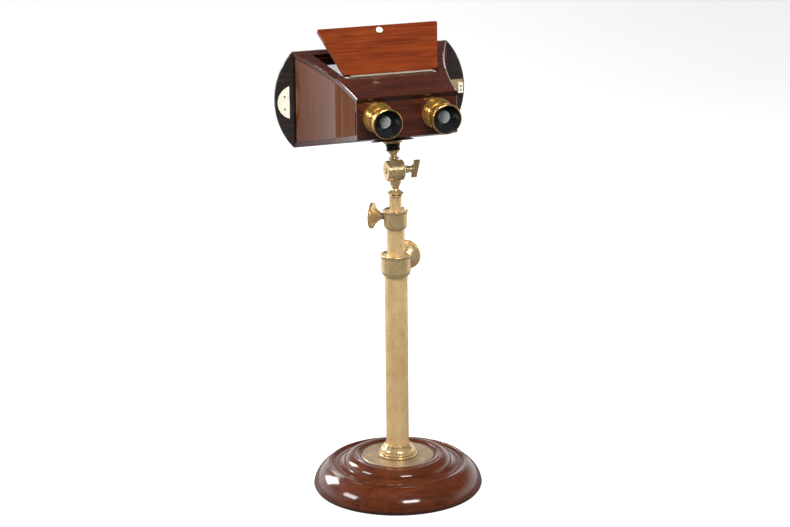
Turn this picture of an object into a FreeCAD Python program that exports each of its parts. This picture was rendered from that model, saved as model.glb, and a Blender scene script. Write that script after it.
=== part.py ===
import FreeCAD, Part
import math
import os
import Sketcher

# A stereo viewer on a telescopic brass pillar, in millimetres. The origin is the centre of the
# base's underside, +Z is up, and the eyepieces look along -Y. X is the line through the two lenses.

Vector = FreeCAD.Vector
Rotation = FreeCAD.Rotation
Placement = FreeCAD.Placement

X_AXIS = Vector(1, 0, 0)
Z_AXIS = Vector(0, 0, 1)

DRIVING_SIZES = (
    # turned base and its brass plate
    ("baize_radius", 91.0),
    ("baize_thickness", 1.0),
    ("base_radius", 98.0),
    ("base_foot_radius", 95.0),
    ("ridge_radius", 79.3),
    ("ridge_height", 31.4),
    ("crest_radius", 62.6),
    ("rim_radius", 48.0),
    ("rim_height", 41.0),
    ("plate_radius", 41.9),
    ("plate_top", 39.8),
    ("plate_thickness", 2.5),
    ("floor_screw_circle", 34.5),
    ("floor_screw_head", 3.0),
    ("floor_screw_shank", 1.6),
    # pillar foot and the three tubes
    ("spigot_radius", 8.0),
    ("foot_radius", 22.6),
    ("foot_ring_radius", 15.6),
    ("foot_top", 53.8),
    ("tube_seat", 46.3),
    ("outer_tube_radius", 13.1),
    ("middle_tube_radius", 10.1),
    ("inner_tube_radius", 6.9),
    ("tube_wall", 1.0),
    ("running_gap", 0.05),
    ("outer_tube_top", 266.0),
    ("middle_tube_bottom", 109.0),
    ("middle_tube_top", 322.0),
    ("inner_tube_bottom", 154.0),
    ("inner_tube_top", 350.5),
    ("guide_length", 8.0),
    # clamp collars and thumbscrews
    ("lower_collar_bottom", 259.2),
    ("lower_collar_top", 282.2),
    ("lower_collar_radius", 16.8),
    ("lower_rim_radius", 18.0),
    ("lower_screw_height", 273.6),
    ("lower_screw_radius", 3.0),
    ("lower_knob_radius", 17.2),
    ("upper_collar_bottom", 313.7),
    ("upper_collar_top", 334.5),
    ("upper_collar_radius", 13.3),
    ("upper_rim_radius", 14.7),
    ("upper_screw_height", 326.0),
    ("upper_screw_radius", 2.5),
    ("upper_knob_radius", 14.9),
    ("shoe_length", 2.0),
    # stem and compass joint
    ("stem_ring_radius", 9.35),
    ("stem_top", 365.2),
    ("stem_bore", 3.0),
    ("knuckle_height", 380.5),
    ("knuckle_radius", 11.6),
    ("knuckle_clearance", 0.3),
    ("leaf_gap", 0.1),
    ("bolt_radius", 2.55),
    ("neck_length", 35.84),
    ("neck_ring_radius", 6.3),
    ("mount_collar_radius", 8.3),
    ("mount_flange_radius", 11.2),
    ("mount_plate_radius", 24.0),
    ("mount_plate_thickness", 2.8),
    ("mount_rim_thickness", 1.4),
    ("mount_step_radius", 21.5),
    ("mount_screw_circle", 19.0),
    # wooden box
    ("front_face", -46.0),
    ("front_half_width", 58.4),
    ("front_top", 477.8),
    ("front_bottom", 430.0),
    ("rear_half_width", 92.9),
    ("rear_bottom", 394.0),
    ("rear_top", 505.6),
    ("side_end", 82.6),
    ("board_end", 88.0),
    ("board_overhang", 1.0),
    ("board_thickness", 6.0),
    ("side_thickness", 5.0),
    ("flare_radius", 333.0),
    ("flare_centre_x", 391.0),
    ("flare_centre_y", -61.9),
    ("back_thickness", 4.0),
    ("wing_radius", 83.5),
    ("window_half_width", 80.0),
    ("window_bottom", 408.0),
    ("window_top", 491.0),
    ("glass_thickness", 2.4),
    ("glass_margin", 4.0),
    ("rail_half_width", 82.3),
    ("rail_depth", 6.0),
    # lid
    ("lid_thickness", 4.0),
    ("lid_length", 69.3),
    ("lid_front_half_width", 54.3),
    ("lid_rear_half_width", 71.7),
    ("lid_distance", 56.2),
    ("lid_clearance", 0.5),
    ("lid_ledge", 4.0),
    ("lid_side_ledge", 1.0),
    ("hinge_rise", 1.0),
    ("hinge_edge", 1.5),
    ("barrel_radius", 1.3),
    ("hinge_pin_radius", 0.6),
    ("hinge_half_length", 48.0),
    # eyepieces
    ("lens_spacing", 68.0),
    ("lens_height", 454.5),
    ("jacket_bore", 13.55),
    ("jacket_radius", 14.6),
    ("flange_radius", 17.4),
    ("draw_tube_radius", 13.5),
    ("draw_tube_wall", 0.8),
    ("eye_ring_radius", 16.9),
    ("eye_ring_front", 36.0),
    ("cup_seat", 6.0),
    ("aperture_radius", 7.2),
)

# Plain positions that no size depends on: angles in degrees about the pillar.
FLOOR_SCREW_ANGLES = (57, 166, 308)
LOWER_KNOB_ANGLE = 49
UPPER_KNOB_ANGLE = 147
WING_KEY_LEAN = 29
LID_OPENING = 29.8
HINGE_PITCH = 4.0
LID_STEP = 2.2
ORIGIN = (0, 0, 0)


class Size:
    """A length that carries its value and the spreadsheet formula it comes from."""

    def __init__(self, value, formula):
        self.value = value
        self.formula = formula

    def _join(self, other, sign, value):
        return Size(value, f"({self.formula} {sign} {size(other).formula})")

    def __add__(self, other):
        return self._join(other, "+", self.value + size(other).value)

    def __sub__(self, other):
        return self._join(other, "-", self.value - size(other).value)

    def __mul__(self, other):
        return self._join(other, "*", self.value * size(other).value)

    def __truediv__(self, other):
        return self._join(other, "/", self.value / size(other).value)

    def __radd__(self, other):
        return size(other) + self

    def __rsub__(self, other):
        return size(other) - self

    def __rmul__(self, other):
        return size(other) * self

    def __neg__(self):
        return size(0) - self


def size(value):
    """Return value as a Size: a plain number is its own formula."""
    if isinstance(value, Size):
        return value
    return Size(float(value), repr(float(value)))


def root(value):
    """Return the square root of a size."""
    return Size(math.sqrt(value.value), f"sqrt({value.formula})")


class Sheet:
    """The driving sizes as attributes, each bound to its spreadsheet cell."""

    def __init__(self, document):
        self.cells = document.addObject("Spreadsheet::Sheet", "Sizes")
        for row, (alias, value) in enumerate(DRIVING_SIZES, start=1):
            self.cells.set(f"A{row}", alias.replace("_", " "))
            self.cells.set(f"B{row}", str(value))
            self.cells.setAlias(f"B{row}", alias)
            setattr(self, alias, Size(value, f"Sizes.{alias}"))


doc = FreeCAD.newDocument("stereo_viewer")
s = Sheet(doc)
doc.recompute()
sub_parts = []


# ---------------------------------------------------------------- drawing helpers


def bind(sketch, kind, target, value):
    """Add one dimension to a sketch and bind it to the sheet."""
    index = sketch.addConstraint(Sketcher.Constraint(kind, *target, size(value).value))
    if isinstance(value, Size):
        sketch.setExpression(f"Constraints[{index}]", value.formula)


def fix_point(sketch, geometry, position, x, y):
    """Hold a sketch point at x, y from the sketch's origin."""
    for kind, axis, value in (("DistanceX", -2, x), ("DistanceY", -1, y)):
        if size(value).value == 0:
            sketch.addConstraint(Sketcher.Constraint("PointOnObject", geometry, position, axis))
        else:
            bind(sketch, kind, (-1, 1, geometry, position), value)


def arc_between(start, end, radius):
    """Return the short arc from start to end; a positive radius has its centre on the left."""
    chord = end - start
    middle = (start + end) * 0.5
    height = math.sqrt(radius * radius - chord.Length * chord.Length / 4)
    left = Vector(-chord.y, chord.x, 0).normalize()
    centre = middle + left * (height if radius > 0 else -height)
    first, last = (start, end) if radius > 0 else (end, start)
    angles = [math.atan2(point.y - centre.y, point.x - centre.x) for point in (first, last)]
    return Part.ArcOfCircle(Part.Circle(centre, Z_AXIS, abs(radius)), *angles)


def draw_outline(sketch, outline):
    """Draw a closed outline of (x, y) corners; (x, y, radius) is reached by an arc."""
    edges = []
    for index, corner in enumerate(outline):
        before = outline[index - 1]
        start = Vector(size(before[0]).value, size(before[1]).value, 0)
        end = Vector(size(corner[0]).value, size(corner[1]).value, 0)
        if len(corner) == 2:
            edges.append((sketch.addGeometry(Part.LineSegment(start, end)), 1, 2))
            continue
        radius = size(corner[2])
        edge = sketch.addGeometry(arc_between(start, end, radius.value))
        bind(sketch, "Radius", (edge,), radius if radius.value > 0 else -radius)
        edges.append((edge, 1, 2) if radius.value > 0 else (edge, 2, 1))
    for index, (edge, _, finish) in enumerate(edges):
        following, begin, _ = edges[(index + 1) % len(edges)]
        sketch.addConstraint(Sketcher.Constraint("Coincident", edge, finish, following, begin))
        fix_point(sketch, edge, finish, outline[index][0], outline[index][1])


def draw_circle(sketch, circle):
    """Draw a circle given as ("circle", x, y, radius)."""
    _, x, y, radius = circle
    centre = Vector(size(x).value, size(y).value, 0)
    edge = sketch.addGeometry(Part.Circle(centre, Z_AXIS, size(radius).value))
    fix_point(sketch, edge, 3, x, y)
    bind(sketch, "Radius", (edge,), radius)


def add_sketch(body, plane, shapes, at=ORIGIN):
    """Sketch shapes on one of the body's own origin planes, moved to the point at."""
    sketch = body.newObject("Sketcher::SketchObject", f"{body.Name}_sketch")
    role = f"{plane}_Plane"
    planes = [item for item in body.Origin.OriginFeatures if item.Role == role]
    sketch.AttachmentSupport = [(planes[0], "")]
    sketch.MapMode = "FlatFace"
    x, y, z = at
    shift = {"XY": (x, y, z), "XZ": (x, z, -y), "YZ": (y, z, x)}[plane]
    sketch.AttachmentOffset = Placement(Vector(*shift), Rotation())
    for shape in shapes:
        if shape[0] == "circle":
            draw_circle(sketch, shape)
        else:
            draw_outline(sketch, shape)
    return sketch


def new_body(label):
    """Start a sub-part whose label is its node's name."""
    body = doc.addObject("PartDesign::Body", label)
    body.Label = label
    sub_parts.append(body)
    return body


def place(body, at=ORIGIN, rotation=Rotation()):
    """Put a sub-part in the row's frame, its position bound to the sheet."""
    body.Placement = Placement(Vector(*[size(value).value for value in at]), rotation)
    for name, value in zip("xyz", at):
        if isinstance(value, Size):
            body.setExpression(f"Placement.Base.{name}", value.formula)
    return body


def volume_of(body):
    """Return the body's volume as it stands."""
    doc.recompute()
    return body.Shape.Volume


def check_cut(body, volume):
    """Stop if a cut took nothing away."""
    doc.recompute()
    if body.Shape.Volume > volume - 1e-3:
        raise SystemExit(f"a cut in {body.Label} removed nothing")


def turned(body, outline, axis="V_Axis", at=ORIGIN, cut=False):
    """Revolve outlines drawn in the XZ plane about the sketch's vertical or horizontal axis."""
    kind = "PartDesign::Groove" if cut else "PartDesign::Revolution"
    volume = volume_of(body) if cut else 0
    outlines = outline if isinstance(outline[0], list) else [outline]
    sketch = add_sketch(body, "XZ", outlines, at)
    feature = body.newObject(kind, f"{body.Name}_turned")
    feature.Profile = sketch
    feature.ReferenceAxis = (sketch, [axis])
    feature.Angle = 360
    if cut:
        check_cut(body, volume)
    return feature


def pad(body, plane, shapes, length, at=ORIGIN, middle=False, reverse=False):
    """Pad shapes along the plane's normal: +Z from XY, -Y from XZ and +X from YZ."""
    sketch = add_sketch(body, plane, shapes, at)
    feature = body.newObject("PartDesign::Pad", f"{body.Name}_pad")
    feature.Profile = sketch
    feature.Length = size(length).value
    if isinstance(length, Size):
        feature.setExpression("Length", length.formula)
    feature.Midplane = middle
    feature.Reversed = reverse
    return feature


def pocket(body, plane, shapes, length, at=ORIGIN, middle=False, reverse=False):
    """Cut shapes against the plane's normal, or along it when reversed."""
    volume = volume_of(body)
    sketch = add_sketch(body, plane, shapes, at)
    feature = body.newObject("PartDesign::Pocket", f"{body.Name}_pocket")
    feature.Profile = sketch
    feature.Length = size(length).value
    if isinstance(length, Size):
        feature.setExpression("Length", length.formula)
    feature.Midplane = middle
    feature.Reversed = reverse
    check_cut(body, volume)
    return feature


def fillet(body, feature, radius, wanted):
    """Round the edges of a feature that the test wanted picks by their middle and direction."""
    doc.recompute()
    names = []
    for index, edge in enumerate(feature.Shape.Edges, start=1):
        middle = edge.valueAt((edge.FirstParameter + edge.LastParameter) / 2)
        ends = edge.BoundBox
        if wanted(middle, ends):
            names.append(f"Edge{index}")
    rounded = body.newObject("PartDesign::Fillet", f"{body.Name}_rounded")
    rounded.Base = (feature, names)
    rounded.Radius = radius
    return rounded


def ring(inner, outer, bottom, top):
    """Return the outline of a plain ring."""
    return [(inner, bottom), (outer, bottom), (outer, top), (inner, top)]


def dome(radius, height):
    """Return the sphere radius of a cap with this edge radius and height."""
    return (size(radius) * radius + size(height) * height) / (size(height) * 2)


def polar(radius, degrees):
    """Return the x and y of a point at an angle on a circle."""
    return radius * math.cos(math.radians(degrees)), radius * math.sin(math.radians(degrees))


def slot_outline(x, y, half_length, half_width, degrees):
    """Return a turned rectangle, as a screw's slot."""
    corners = ((-1, -1), (1, -1), (1, 1), (-1, 1))
    turn = math.radians(degrees)
    outline = []
    for along, across in corners:
        u = along * half_length
        v = across * half_width
        corner_x = x + (u * math.cos(turn) - v * math.sin(turn))
        corner_y = y + (u * math.sin(turn) + v * math.cos(turn))
        outline.append((corner_x, corner_y))
    return outline


# ---------------------------------------------------------------- base


def base_baize():
    body = new_body("base_baize")
    pad(body, "XY", [("circle", 0, 0, s.baize_radius)], s.baize_thickness)


def base_disc():
    """The turned mahogany disc: bullnose, ridge, hollow, round crest, lip and a recess."""
    seat = s.plate_top - s.plate_thickness
    body = new_body("base_disc")
    outline = [
        (0, s.baize_thickness),
        (s.base_foot_radius, s.baize_thickness),
        (s.base_radius, 6.5, 9.0),
        (s.ridge_radius + 2.4, s.ridge_height - 2.2, 30.0),
        (s.ridge_radius + 1.8, s.ridge_height - 0.6, -1.2),
        (s.ridge_radius, s.ridge_height, 1.5),
        (s.ridge_radius - 1.4, s.ridge_height - 1.2, 1.2),
        (s.ridge_radius - 8.0, s.ridge_height - 1.6, -12.0),
        (s.crest_radius, s.ridge_height + 0.6, -11.0),
        (s.rim_radius + 2.0, s.rim_height - 0.4, 10.5),
        (s.rim_radius + 1.6, s.rim_height - 0.6),
        (s.rim_radius - 1.4, s.rim_height - 0.6, 1.8),
        (s.plate_radius + 0.6, s.plate_top - 0.2, -5.0),
        (s.plate_radius + 0.6, seat),
        (s.spigot_radius, seat),
        (s.spigot_radius, s.tube_seat - 20.3),
        (0, s.tube_seat - 20.3),
    ]
    turned(body, outline)
    holes = []
    for angle in FLOOR_SCREW_ANGLES:
        holes.append(("circle", *polar(s.floor_screw_circle, angle), s.floor_screw_shank))
    pocket(body, "XY", holes, 12.0, at=(0, 0, seat.value))


def floor_plate():
    """The brass disc let into the base, countersunk for three screws."""
    body = new_body("floor_plate")
    bottom = s.plate_top - s.plate_thickness
    outline = [
        (s.spigot_radius, bottom),
        (s.plate_radius, bottom),
        (s.plate_radius, s.plate_top - 0.6),
        (s.plate_radius - 0.6, s.plate_top),
        (s.spigot_radius, s.plate_top),
    ]
    turned(body, outline)
    for angle in FLOOR_SCREW_ANGLES:
        x, y = polar(s.floor_screw_circle.value, angle)
        turned(body, screw_outline(s.floor_screw_head, s.floor_screw_shank, bottom), at=(x, y, 0), cut=True)


def screw_outline(head, shank, bottom):
    """Return half of a countersunk screw whose head is flush with the plate's top."""
    return [
        (0, bottom),
        (shank, bottom),
        (shank, s.plate_top - 1.7),
        (head, s.plate_top - 0.3),
        (head, s.plate_top),
        (0, s.plate_top),
    ]


def floor_screws():
    body = new_body("floor_screws")
    bottom = s.plate_top - s.plate_thickness - 11.0
    slots = []
    for angle in FLOOR_SCREW_ANGLES:
        x, y = polar(s.floor_screw_circle.value, angle)
        turned(body, screw_outline(s.floor_screw_head, s.floor_screw_shank, bottom), at=(x, y, 0))
        slots.append(slot_outline(x, y, 4.0, 0.4, angle * 2.3))
    pocket(body, "XY", slots, 0.8, at=(0, 0, s.plate_top.value))


# ---------------------------------------------------------------- pillar


def pillar_foot():
    """The turned foot: two rings, a cushion and a thin top ring round the outer tube."""
    body = new_body("pillar_foot")
    outline = [
        (0, s.tube_seat - 20.0),
        (s.spigot_radius, s.tube_seat - 20.0),
        (s.spigot_radius, s.plate_top),
        (s.foot_radius - 0.9, s.plate_top),
        (s.foot_radius - 0.9, s.plate_top + 2.6, 1.5),
        (s.foot_radius - 2.0, s.plate_top + 2.9),
        (s.foot_radius - 2.0, s.plate_top + 3.5),
        (s.foot_radius - 1.4, s.plate_top + 3.9),
        (s.foot_radius - 1.4, s.plate_top + 4.9, 0.7),
        (s.foot_radius - 2.6, s.plate_top + 5.3),
        (s.foot_ring_radius + 1.4, s.foot_top - 3.4, 5.4),
        (s.foot_ring_radius - 0.6, s.foot_top - 2.0, -3.0),
        (s.foot_ring_radius, s.foot_top - 1.6),
        (s.foot_ring_radius, s.foot_top - 0.5),
        (s.foot_ring_radius - 0.6, s.foot_top),
        (s.outer_tube_radius, s.foot_top),
        (s.outer_tube_radius, s.tube_seat),
        (0, s.tube_seat),
    ]
    turned(body, outline)


def tube(label, radius, bottom, top):
    body = new_body(label)
    turned(body, ring(radius - s.tube_wall, radius, bottom, top))


def guide(label, inner, outer, bottom, length):
    """A ring at a tube's lower end that keeps it central in the next tube."""
    body = new_body(label)
    turned(body, ring(inner, outer, bottom, bottom + length))


def collar(label, tube_radius, bore, radius, rim, heights, screw_radius, angle, lip):
    """A clamp collar: it grips one tube below and guides the next one through its top."""
    bottom, tube_end, top, screw_height = heights
    body = new_body(label)
    outline = [
        (tube_radius, bottom - lip),
        (tube_radius + 0.8, bottom - lip),
        (tube_radius + 0.8, bottom),
        (radius - 1.0, bottom),
        (radius, bottom + 3.2),
        (radius, top - 4.6),
        (rim, top - 0.9, -7.0),
        (rim - 0.3, top, 0.9),
        (rim - 1.4, top, 0.8),
        (rim - 2.4, top - 1.1),
        (bore, top - 1.1),
        (bore, tube_end),
        (tube_radius, tube_end),
    ]
    turned(body, outline)
    depth = rim.value + 4
    pocket(body, "YZ", [("circle", 0, screw_height, screw_radius)], depth, reverse=True)
    place(body, ORIGIN, Rotation(Z_AXIS, angle))


def outward(angle):
    """Return the rotation that takes local Z to the level direction at an angle."""
    return Rotation(Z_AXIS, angle) * Rotation(Vector(0, 1, 0), 90)


def clamp_shoe(label, screw_radius, gap_start, height, angle):
    """The small brass pad that the thumbscrew presses on the tube."""
    body = new_body(label)
    radius = screw_radius - s.running_gap
    turned(body, ring(0, radius, gap_start, gap_start + s.shoe_length))
    place(body, (0, 0, height), outward(angle))


def thumbscrew(label, screw_radius, start, boss, knob_radius, height, angle):
    """A trumpet-shaped thumbscrew, drawn along local Z from the pillar's axis outwards."""
    body = new_body(label)
    thread = screw_radius - s.running_gap
    flare = boss + 12.2
    neck = thread + 1.3
    outline = [
        (0, start),
        (thread, start),
        (thread, boss),
        (neck, boss),
        (neck, boss + 2.6),
        (knob_radius - 0.9, flare, -21.0),
        (knob_radius, flare + 0.9, 0.9),
        (knob_radius, flare + 2.4),
        (knob_radius - 1.0, flare + 3.4, 1.0),
        (knob_radius - 2.6, flare + 3.0),
        (3.4, flare + 2.2),
        (0, flare + 2.8, dome(3.4, 0.6)),
    ]
    turned(body, outline)
    place(body, (0, 0, height), outward(angle))


def stem():
    """The reel-shaped fitting between the inner tube and the compass joint."""
    body = new_body("stem")
    seat = s.inner_tube_top
    bore = s.inner_tube_radius - s.tube_wall
    outline = [
        (0, seat - 10.0),
        (bore, seat - 10.0),
        (bore, seat),
        (s.inner_tube_radius + 0.7, seat),
        (s.inner_tube_radius + 0.7, seat + 2.4, 1.4),
        (s.inner_tube_radius + 0.3, seat + 2.9),
        (s.stem_ring_radius, seat + 3.7),
        (s.stem_ring_radius, seat + 4.7, 0.6),
        (s.inner_tube_radius + 0.6, seat + 5.6, -4.0),
        (s.stem_bore + 1.3, seat + 9.6, -6.0),
        (s.stem_bore + 1.3, seat + 11.0),
        (s.stem_bore + 2.9, s.stem_top - 1.4, -3.4),
        (s.stem_bore + 2.9, s.stem_top),
        (s.stem_bore, s.stem_top),
        (s.stem_bore, seat + 4.0),
        (0, seat + 4.0),
    ]
    turned(body, outline)


# ---------------------------------------------------------------- compass joint

# Half-widths of the joint's leaves along X: a centre leaf, two tongues and two cheeks.
CENTRE_LEAF = 1.3
TONGUE = 4.0
LEFT_CHEEK = 9.3
RIGHT_CHEEK = 8.0
BELL_END = 13.0


def leaf(body, start, end):
    """Pad one round leaf of the joint between two X positions."""
    pad(body, "YZ", [("circle", 0, 0, s.knuckle_radius)], end - start, at=(start, 0, 0))


def root_slot(body, start, end):
    """Clear the way for the other half's leaf between two X positions."""
    clear = [("circle", 0, 0, s.knuckle_radius + s.knuckle_clearance)]
    pocket(body, "YZ", clear, end - start, at=(start, 0, 0), reverse=True)


def bolt_hole(body):
    hole = [("circle", 0, 0, s.bolt_radius + s.running_gap)]
    pocket(body, "YZ", hole, 60.0, middle=True)


def knuckle_lower():
    """The fixed half: two cheeks, a centre leaf and the root that screws into the stem."""
    body = new_body("knuckle_lower")
    drop = s.knuckle_height - s.stem_top
    spigot = s.stem_bore
    turned(
        body,
        [
            (0, -drop - 8.0),
            (spigot, -drop - 8.0),
            (spigot, -drop),
            (spigot + 2.9, -drop),
            (spigot + 3.8, -drop + 3.6, 9.0),
            (spigot + 3.8, -4.0),
            (0, -4.0),
        ],
    )
    root_slot(body, -TONGUE - s.leaf_gap.value, -CENTRE_LEAF)
    root_slot(body, CENTRE_LEAF, TONGUE + s.leaf_gap.value)
    leaf(body, -LEFT_CHEEK, -TONGUE - s.leaf_gap.value)
    leaf(body, -CENTRE_LEAF, CENTRE_LEAF)
    leaf(body, TONGUE + s.leaf_gap.value, RIGHT_CHEEK)
    bell = [
        (RIGHT_CHEEK - 0.5, 0),
        (BELL_END, 0),
        (BELL_END, 4.3),
        (BELL_END - 1.2, 4.7),
        (RIGHT_CHEEK + 1.6, s.knuckle_radius - 2.2, -5.5),
        (RIGHT_CHEEK, s.knuckle_radius, 2.8),
        (RIGHT_CHEEK - 0.5, s.knuckle_radius),
    ]
    turned(body, bell, axis="H_Axis")
    bolt_hole(body)
    place(body, (0, 0, s.knuckle_height))


def knuckle_upper():
    """The tilting half: two tongues and the neck under the box."""
    body = new_body("knuckle_upper")
    top = s.neck_length - s.mount_plate_thickness
    turned(
        body,
        [
            (0, 4.0),
            (3.9, 4.0),
            (3.9, s.knuckle_radius + 0.6),
            (s.neck_ring_radius - 0.5, s.knuckle_radius + 0.9),
            (s.neck_ring_radius, s.knuckle_radius + 1.9, 0.8),
            (s.neck_ring_radius - 0.5, s.knuckle_radius + 2.9, 0.8),
            (3.8, s.knuckle_radius + 4.2, -2.2),
            (4.6, s.knuckle_radius + 7.6, -6.0),
            (6.8, s.knuckle_radius + 9.6, -4.0),
            (6.8, s.knuckle_radius + 10.4),
            (4.6, s.knuckle_radius + 10.4),
            (4.6, top),
            (0, top),
        ],
    )
    root_slot(body, -CENTRE_LEAF - s.leaf_gap.value, CENTRE_LEAF + s.leaf_gap.value)
    leaf(body, -TONGUE, -CENTRE_LEAF - s.leaf_gap.value)
    leaf(body, CENTRE_LEAF + s.leaf_gap.value, TONGUE)
    bolt_hole(body)
    place(body, (0, 0, s.knuckle_height), tilt_back())


def slope_of(front, rear):
    """Return the slope of a board that runs from the front face to the rear, in degrees."""
    run = s.board_end.value - s.front_face.value
    return math.degrees(math.atan2(rear.value - front.value, run))


def tilt_back():
    """Return the rotation of the neck, square to the box's underside."""
    return Rotation(X_AXIS, slope_of(s.front_bottom, s.rear_bottom))


def neck_ring(label, outline):
    body = new_body(label)
    turned(body, outline)
    place(body, (0, 0, s.knuckle_height), tilt_back())
    return body


def mounting_collar():
    """The dark milled collar on the neck."""
    start = s.knuckle_radius + 10.4
    radius = s.mount_collar_radius
    outline = [
        (4.6, start),
        (radius - 1.4, start),
        (radius, start + 1.2, 1.6),
        (radius - 0.7, start + 2.2, -1.0),
        (radius - 0.7, start + 5.2),
        (radius, start + 6.6, -2.6),
        (radius, start + 7.6),
        (radius - 1.0, start + 8.2),
        (4.6, start + 8.2),
    ]
    neck_ring("mounting_collar", outline)


def mounting_flange():
    start = s.knuckle_radius + 18.6
    top = s.neck_length - s.mount_plate_thickness
    outline = [
        (4.6, start),
        (s.mount_collar_radius + 0.4, start),
        (s.mount_flange_radius - 0.6, top - 1.6, -3.0),
        (s.mount_flange_radius, top - 1.0),
        (s.mount_flange_radius, top),
        (4.6, top),
    ]
    neck_ring("mounting_flange", outline)


def mounting_plate():
    """The stepped disc that carries the box, countersunk from below for four screws."""
    bottom = s.neck_length - s.mount_plate_thickness
    outline = [
        (0, bottom),
        (s.mount_plate_radius - 0.5, bottom),
        (s.mount_plate_radius, bottom + 0.5),
        (s.mount_plate_radius, bottom + s.mount_rim_thickness),
        (s.mount_step_radius, bottom + s.mount_rim_thickness),
        (s.mount_step_radius, s.neck_length),
        (0, s.neck_length),
    ]
    body = neck_ring("mounting_plate", outline)
    for angle in range(45, 405, 90):
        x, y = polar(s.mount_screw_circle.value, angle)
        turned(body, mount_screw_outline(s.neck_length), at=(x, y, 0), cut=True)


def mount_screw_outline(tip):
    """Return half of a small countersunk screw that points up into the box."""
    bottom = s.neck_length - s.mount_plate_thickness
    return [(0, bottom), (2.5, bottom), (2.5, bottom + 0.2), (1.3, bottom + 1.2), (1.3, tip), (0, tip)]


def mounting_screws():
    body = new_body("mounting_screws")
    bottom = s.neck_length - s.mount_plate_thickness
    slots = []
    for angle in range(45, 405, 90):
        x, y = polar(s.mount_screw_circle.value, angle)
        turned(body, mount_screw_outline(s.neck_length + 4.4), at=(x, y, 0))
        slots.append(slot_outline(x, y, 3.0, 0.3, angle * 1.7))
    pocket(body, "XY", slots, 0.6, at=(0, 0, bottom.value), reverse=True)
    place(body, (0, 0, s.knuckle_height), tilt_back())


def knuckle_cap():
    """The bevelled washer on the joint's left cheek."""
    body = new_body("knuckle_cap")
    hole = s.bolt_radius + s.running_gap
    left = -LEFT_CHEEK - 1.5
    outline = [
        (-LEFT_CHEEK, hole),
        (-LEFT_CHEEK, s.knuckle_radius - 0.3),
        (left, s.knuckle_radius - 1.2, 1.6),
        (left, hole),
    ]
    turned(body, outline, axis="H_Axis")
    place(body, (0, 0, s.knuckle_height))


def knuckle_bolt():
    """The pivot bolt: slotted head on the left, thread for the wing key on the right."""
    body = new_body("knuckle_bolt")
    head = -LEFT_CHEEK - 1.5
    outline = [
        (head - 0.9, 0),
        (head - 0.9, 2.6),
        (head, 3.2, -0.9),
        (head, s.bolt_radius),
        (18.0, s.bolt_radius),
        (18.0, 0),
    ]
    turned(body, outline, axis="H_Axis")
    pocket(body, "YZ", [slot_outline(0, 0, 4.0, 0.35, 40)], 0.6, at=(head - 0.9, 0, 0), reverse=True)
    place(body, (0, 0, s.knuckle_height))


def key_washer():
    body = new_body("key_washer")
    hole = s.bolt_radius + s.running_gap
    start = BELL_END + 0.05
    outline = [(start, hole), (start + 1.3, hole), (start + 1.3, 4.0), (start + 0.9, 4.4), (start, 4.4)]
    turned(body, outline, axis="H_Axis")
    place(body, (0, 0, s.knuckle_height))


def wing_key():
    """The flat key that locks the joint, on a turned boss."""
    body = new_body("wing_key")
    start = BELL_END + 1.4
    boss = [
        (start, 0),
        (start, 4.1),
        (start + 1.0, 4.1),
        (start + 2.2, 3.5, -1.6),
        (start + 7.0, 3.5),
        (start + 7.6, 0),
    ]
    turned(body, boss, axis="H_Axis")
    half_height = 12.6
    outer = 27.4
    inner = outer - 7.0
    plate = [
        (inner - 3.2, 3.2, -4.5),
        (inner - 3.2, -3.2),
        (inner, -7.0, -4.5),
        (inner + 0.4, -half_height),
        (outer - 0.2, -half_height - 0.2),
        (outer, half_height - 0.2),
        (inner, half_height),
        (inner, 7.0),
    ]
    pad(body, "XZ", [plate], 2.4, middle=True)
    hole = s.bolt_radius + s.running_gap
    bore = [(start - 1, 0), (start - 1, hole), (18.2, hole), (18.2, 0)]
    turned(body, bore, axis="H_Axis", cut=True)
    place(body, (0, 0, s.knuckle_height), Rotation(X_AXIS, WING_KEY_LEAN))


# ---------------------------------------------------------------- box


def top_frame():
    """Return the frame on the top board's front edge, Y up its slope."""
    slope = slope_of(s.front_top, s.rear_top)
    front = s.front_face.value - s.board_overhang.value
    height = s.front_top.value - s.board_overhang.value * math.tan(math.radians(slope))
    return Placement(Vector(0, front, height), Rotation(X_AXIS, slope))


def bottom_frame():
    """Return the frame on the bottom board's front edge, Y down its slope."""
    slope = slope_of(s.front_bottom, s.rear_bottom)
    return Placement(Vector(0, s.front_face.value, s.front_bottom.value), Rotation(X_AXIS, slope))


def flared_board(length, slope, start=0):
    """Return a board's outline: straight front and rear, hollow flared sides."""
    radius = s.flare_radius / math.cos(math.radians(slope)) ** 2
    return [
        (-s.front_half_width, start, -radius),
        (s.front_half_width, start),
        (s.rear_half_width, length, -radius),
        (-s.rear_half_width, length),
    ]


def lid_half_width(distance):
    """Return the lid's half width at a distance from the hinge."""
    share = distance / s.lid_length.value
    return s.lid_front_half_width + (s.lid_rear_half_width - s.lid_front_half_width) * share


def lid_outline(start, end, margin):
    """Return a trapezoid in the top board's plane that follows the lid."""
    near = lid_half_width(start) + margin
    far = lid_half_width(end) + margin
    first = s.lid_distance + start
    last = s.lid_distance + end
    return [(-near, first), (near, first), (far, last), (-far, last)]


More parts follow.
